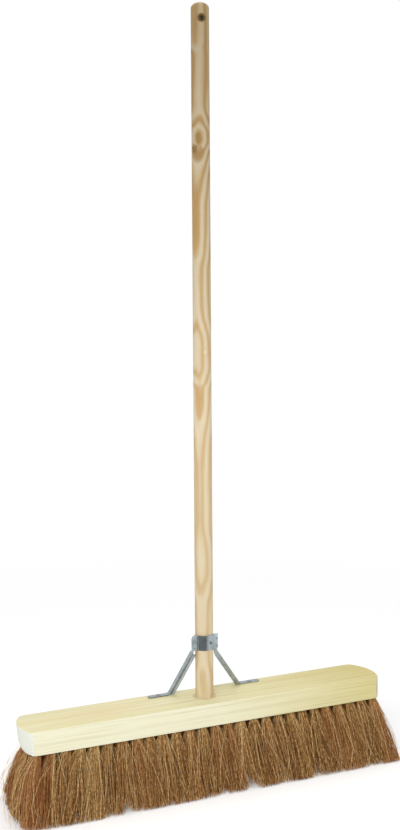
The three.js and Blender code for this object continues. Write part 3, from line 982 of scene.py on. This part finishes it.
bristleSize = dict(
    # rows of tufts in the stock
    rows=4, rim=2.5 * mm, pitch=21.5 * mm, endMargin=10.5 * mm, tuftRadius=6 * mm,
    length=100 * mm, bury=4 * mm,
    # how the tips spread
    frontFlare=29.5 * mm, leftFlare=21 * mm, leftCurve=1.2, leftBow=0.6,
    rightFlare=16 * mm, rightCurve=0.6, fan=0.82, rowFan=0.62, backCurve=1.3,
    partings=[-145 * mm, 52 * mm], partingPush=8 * mm, partingWidth=7 * mm, partingReach=26 * mm,
    # fibres: some keep together in locks, some are loose, a few are strays
    fibresPerRow=8600, locksPerTuft=12, loose=0.45, lockHold=0.55, crowd=2.2,
    tuftLean=3.6 * mm, scatter=3.4 * mm, waver=3 * mm,
    strays=0.026, strayReach=18 * mm, strayBend=2.5,
    fibreRadius=0.36 * mm, thinnest=0.6, sides=3, shares=[0.0, 0.32, 0.66, 0.99, 1.0],
    # the tufts at both ends
    endFullness=1.7, endCrowd=1.6, endFan=0.84, endScatter=1.4 * mm,
    # how the tips are trimmed
    clearance=0.3 * mm, ragged=1 * mm, lockShort=2 * mm,
    riseFrom=-265 * mm, riseSpan=65 * mm, rise=9 * mm,
    notches=[-153 * mm, 57 * mm], notch=9 * mm, notchWidth=4 * mm,
    edgeRoom=12 * mm, seed=20,
)
fibreTone = dict(
    middle=0.475, slope=-0.025, ends=-0.05, tuft=0.045, lock=0.08, fibre=0.15,
    stray=0.84, darkest=0.02, palest=0.95, rust=0.08, rustSpread=0.16, rustMost=0.7,
    # reddish patches: place along the broom, width, strength
    rustPatches=[(-290 * mm, 45 * mm, 0.6), (-148 * mm, 22 * mm, 0.35), (50 * mm, 24 * mm, 0.45)],
)
rowWidth = stockWidth - 2 * bristleSize["rim"]
rowPitch = rowWidth / bristleSize["rows"]
tipRowPitch = (rowWidth + 2 * bristleSize["frontFlare"]) / bristleSize["rows"]
fullReach = stockHigh.x - bristleSize["rim"]


def hump(distance, width):  # one in the middle, falling off to both sides
    return np.exp(-(distance / width) ** 2)


def crowdedTo(side, place, power):  # places from -1 to 1, moved towards one side
    return side * (1 - 2 * ((1 - side * place) / 2) ** power)


def tuftLine(rowPlace):  # where a row's tufts stand along the stock
    size = bristleSize
    left = -stockLow.x - endDrawnBack(-1, rowPlace, size["rim"]) - leftLean(rowPlace) - size["endMargin"]
    right = stockHigh.x - endDrawnBack(1, rowPlace, size["rim"]) - size["endMargin"]
    return np.linspace(-left, right, round((left + right) / size["pitch"]) + 1)


def tipDrift(x):  # tips lean out towards the ends, and away from each parting
    size = bristleSize
    share = np.abs(x) / fullReach
    drift = np.where(x < 0, -size["leftFlare"] * share ** size["leftCurve"],
                     size["rightFlare"] * share ** size["rightCurve"])
    for place in size["partings"]:
        push = size["partingPush"] * np.tanh((x - place) / size["partingWidth"])
        drift += push * hump(x - place, size["partingReach"])
    return drift


def fibrePlan(row):  # centre lines, thickness and colour of a row's fibres
    size, colour = bristleSize, fibreTone
    chance = np.random.default_rng(size["seed"] + row)
    count = size["fibresPerRow"]
    rowShare = row - (size["rows"] - 1) / 2
    rowPlace, tipRowPlace = rowShare * rowPitch, rowShare * tipRowPitch
    tuftPlaces = tuftLine(rowPlace)
    tufts, locks = len(tuftPlaces), len(tuftPlaces) * size["locksPerTuft"]
    fullness = np.ones(tufts)
    fullness[[0, -1]] = size["endFullness"]
    tuft = np.searchsorted(np.cumsum(fullness) / fullness.sum(), (np.arange(count) + 0.5) / count)
    lock = tuft * size["locksPerTuft"] + chance.integers(0, size["locksPerTuft"], count)
    root = tuftPlaces[tuft]
    end = np.where(tuft == 0, -1, 0) + np.where(tuft == tufts - 1, 1, 0)  # nought between the ends
    loose = chance.random(count) < size["loose"]
    stray = chance.random(count) < size["strays"]

    def ofTuft(spread, middle=0):
        return chance.normal(middle, spread, tufts)[tuft]

    def ofLock(spread):
        return chance.normal(0, spread, locks)[lock]

    def ofFibre(spread):
        return chance.normal(0, spread, count)

    def placeInTuft():  # a fibre keeps near the middle of its lock, unless it is a loose one
        hold = np.where(loose, 0.0, size["lockHold"])
        return hold * chance.uniform(-1, 1, locks)[lock] + (1 - hold) * chance.uniform(-1, 1, count)

    across = placeInTuft()
    back = placeInTuft()
    crowded = crowdedTo(end, across, size["endCrowd"]) * size["endFan"]
    across = np.where(end == 0, across, crowded)  # the end tufts are densest at the outside
    if row in (0, size["rows"] - 1):  # and so are the outer rows
        back = crowdedTo(np.sign(rowShare), back, size["crowd"])
    back = np.where(stray, np.sign(rowShare), back)

    fanned = root + across * size["pitch"] * size["fan"]
    drift = tipDrift(fanned)
    drift += np.where(end == 0, ofTuft(size["tuftLean"]), 0)  # the end tufts keep the outline
    drift += ofFibre(np.where(end == 0, size["scatter"], size["endScatter"]))
    drift += stray * ofFibre(size["strayReach"])
    driftBack = tipRowPlace - rowPlace + ofTuft(size["tuftLean"]) + ofFibre(size["scatter"])
    tipPlace = fanned + drift
    tipHeight = size["clearance"] + np.abs(ofLock(size["lockShort"])) * ~loose
    tipHeight += np.abs(ofFibre(size["ragged"]))
    outward = np.clip((size["riseFrom"] - tipPlace) / size["riseSpan"], 0, 1)
    tipHeight += size["rise"] * outward ** 2  # the left end is trimmed round
    for place in size["notches"]:
        tipHeight += size["notch"] * hump(tipPlace - place, size["notchWidth"])
    bend = np.where(stray, size["strayBend"], 1)
    bendX, bendY = chance.normal(0, size["waver"], (2, count)) * bend

    lines = np.zeros((len(size["shares"]), count, 3))
    bow = np.where(root < 0, size["leftBow"], 1.0)  # the left end is rounder
    for line, share in zip(lines, size["shares"]):
        fan = size["tuftRadius"] + (size["pitch"] * size["fan"] - size["tuftRadius"]) * share
        rowFan = size["tuftRadius"] + (tipRowPitch * size["rowFan"] - size["tuftRadius"]) * share
        sway = math.sin(math.pi * share)
        line[:, 0] = root + across * fan + drift * share ** bow + bendX * sway
        line[:, 1] = rowPlace + back * rowFan + driftBack * share ** size["backCurve"] + bendY * sway
        line[:, 2] = (size["length"] + size["bury"]) * (1 - share) + tipHeight * share
    for axis in (0, 1):  # none goes far past the CAD's box
        low, high = cadBox[0][axis] - size["edgeRoom"], cadBox[1][axis] + size["edgeRoom"]
        lines[:, :, axis] = np.clip(lines[:, :, axis], low, high)

    along = root / fullReach
    tone = colour["middle"] + colour["slope"] * along + colour["ends"] * along ** 2
    tone += ofTuft(colour["tuft"]) + ofLock(colour["lock"]) + ofFibre(colour["fibre"])
    tone = np.where(stray, colour["stray"], np.clip(tone, colour["darkest"], colour["palest"]))
    rust = ofTuft(colour["rustSpread"], colour["rust"])
    for place, width, strength in colour["rustPatches"]:
        rust += strength * hump(lines[-1, :, 0] - place, width) * chance.random(count)
    rust = np.clip(rust, 0, colour["rustMost"]) * ~stray
    radius = size["fibreRadius"] * chance.uniform(size["thinnest"], 1, count)
    turn = chance.uniform(0, fullTurn, count)
    return lines, radius, turn, tone, rust


def makeFibres(name, node, row):
    lines, radius, turn, tone, rust = fibrePlan(row)
    shares, sides = bristleSize["shares"], bristleSize["sides"]
    rings, count = len(shares) - 1, len(radius)
    perFibre = rings * sides + 1  # the last point is the tip
    points = np.zeros((count, perFibre, 3))
    colours = np.ones((count, perFibre, 4), np.float32)
    for place in range(perFibre):
        ring, side = divmod(place, sides)
        points[:, place] = lines[ring]
        if ring < rings:
            angle = turn + fullTurn * side / sides
            points[:, place, 0] += radius * np.cos(angle)
            points[:, place, 1] += radius * np.sin(angle)
        for channel, value in enumerate((tone, shares[ring], rust)):
            colours[:, place, channel] = value
    faces = [(0, 1, 2)]
    for place in range((rings - 1) * sides):
        beside = place - place % sides + (place + 1) % sides
        faces += [(beside + sides, beside, place), (place + sides, beside + sides, place)]
    last = (rings - 1) * sides
    faces += [(perFibre - 1, last + (side + 1) % sides, last + side) for side in range(sides)]
    allFaces = (np.arange(count)[:, None, None] * perFibre + np.array(faces)[None]).reshape(-1, 3)

    mesh = bpy.data.meshes.new(name)
    mesh.vertices.add(count * perFibre)
    mesh.vertices.foreach_set("co", points.reshape(-1).astype(np.float32))
    mesh.loops.add(allFaces.size)
    mesh.loops.foreach_set("vertex_index", allFaces.reshape(-1).astype(np.int32))
    mesh.polygons.add(len(allFaces))
    mesh.polygons.foreach_set("loop_start", np.arange(0, allFaces.size, 3, dtype=np.int32))
    mesh.update(calc_edges=True)
    attribute = mesh.color_attributes.new("fibre", "FLOAT_COLOR", "POINT")
    attribute.data.foreach_set("color", colours.reshape(-1))
    mesh.validate()
    fibres = addObject(name, mesh)
    takeUp(fibres)
    bpy.ops.object.shade_smooth()
    dress(fibres, coir, "coir", node)


for row, rowName in enumerate(["front", "inner_front", "inner_rear", "rear"]):
    makeFibres("fibres_" + rowName, "bristles_" + rowName, row)


# stage: pale floor that fades into a white surround, soft lamps

stageLook = dict(floorSize=9.0, fade=(0.75, 1.5), floor=0.9, glow=0.22, surround=0.46, white=1.0)
lampAim = Vector((0, 0, 0.35))
lampSet = [
    dict(name="key", place=(-2.2, -2.4, 2.0), size=1.8, watts=62),
    dict(name="fill", place=(2.4, -1.8, 1.4), size=2.0, watts=18),
    dict(name="top", place=(0.2, 0.6, 2.9), size=2.0, watts=24),
]


def seenDirectly(tree):  # by camera, glossy and transmission rays
    path = addNode("LightPath", {}, tree).outputs
    return sums("MAXIMUM", path["Is Camera Ray"], path["Is Glossy Ray"], path["Is Transmission Ray"])


def makeFloor():
    look = stageLook
    floor = addPlane("floor", look["floorSize"])
    material, shader = newMaterial("floor_pale")
    tree = material.node_tree
    tree.nodes.remove(shader)
    distance = vectorSums("LENGTH", objectCoords(tree)[0])["Value"]
    seen = seenDirectly(tree)
    away = sums("MULTIPLY", seen, rangeOf(distance, *look["fade"]))
    matt = addNode("BsdfDiffuse", {"Color": grey(look["floor"])}, tree).outputs[0]
    strength = sums("MULTIPLY", seen, look["glow"])
    glow = addNode("Emission", {"Strength": strength}).outputs[0]
    nearby = addNode("AddShader", {0: matt, 1: glow}).outputs[0]
    white = addNode("Emission", {"Strength": look["white"]}, tree).outputs[0]
    mixed = addNode("MixShader", {0: away, 1: nearby, 2: white}).outputs[0]
    feed(tree.nodes["Material Output"], {"Surface": mixed})
    floor.data.materials.append(material)


def makeSurround():  # white where it is seen, and dimmer as a light
    look = stageLook
    world = bpy.data.worlds.new("surround")
    bpy.context.scene.world = world
    world.use_nodes = True
    strength = rangeOf(seenDirectly(world.node_tree), 0, 1, look["surround"], look["white"])
    feed(world.node_tree.nodes["Background"], {"Color": grey(look["white"]), "Strength": strength})


def makeLamps():
    for look in lampSet:
        data = bpy.data.lights.new(look["name"], "AREA")
        data.size = look["size"]
        data.energy = look["watts"]
        lamp = addObject(look["name"], data)
        lamp.location = look["place"]
        lamp.rotation_euler = (lampAim - lamp.location).to_track_quat("-Z", "Y").to_euler()


makeFloor()
makeSurround()
makeLamps()
print("stage and lamps made")


# camera, found from the edges of the stock and handle in the photograph

cameraSet = dict(eye=(-0.7209, -1.6707, 0.805), heading=23.341, pitch=6.811, roll=-0.392,
                 focal=1194.47, centre=(202.58, 411.66), image=(400, 830), sensor=24.0, far=50)


def makeCamera():
    look = cameraSet
    heading, pitch, roll = (math.radians(look[key]) for key in ("heading", "pitch", "roll"))
    level = math.cos(pitch)
    forward = Vector((math.sin(heading) * level, math.cos(heading) * level, -math.sin(pitch)))
    right = Vector((math.cos(heading), -math.sin(heading), 0))
    up = right.cross(forward)
    turnedRight = right * math.cos(roll) + up * math.sin(roll)
    turnedUp = up * math.cos(roll) - right * math.sin(roll)
    data = bpy.data.cameras.new("camera")
    width, height = look["image"]
    data.sensor_fit = "VERTICAL"
    data.sensor_height = look["sensor"]
    data.lens = look["focal"] / height * look["sensor"]
    data.shift_x = (width / 2 - look["centre"][0]) / height
    data.shift_y = (look["centre"][1] - height / 2) / height
    data.clip_end = look["far"]
    camera = addObject("camera", data)
    axes = Matrix((turnedRight, turnedUp, -forward)).transposed()
    camera.matrix_world = Matrix.Translation(look["eye"]) @ axes.to_4x4()
    bpy.context.scene.camera = camera


makeCamera()
bpy.context.scene.view_settings.view_transform = "Standard"
deselectAll()
bpy.context.view_layer.update()
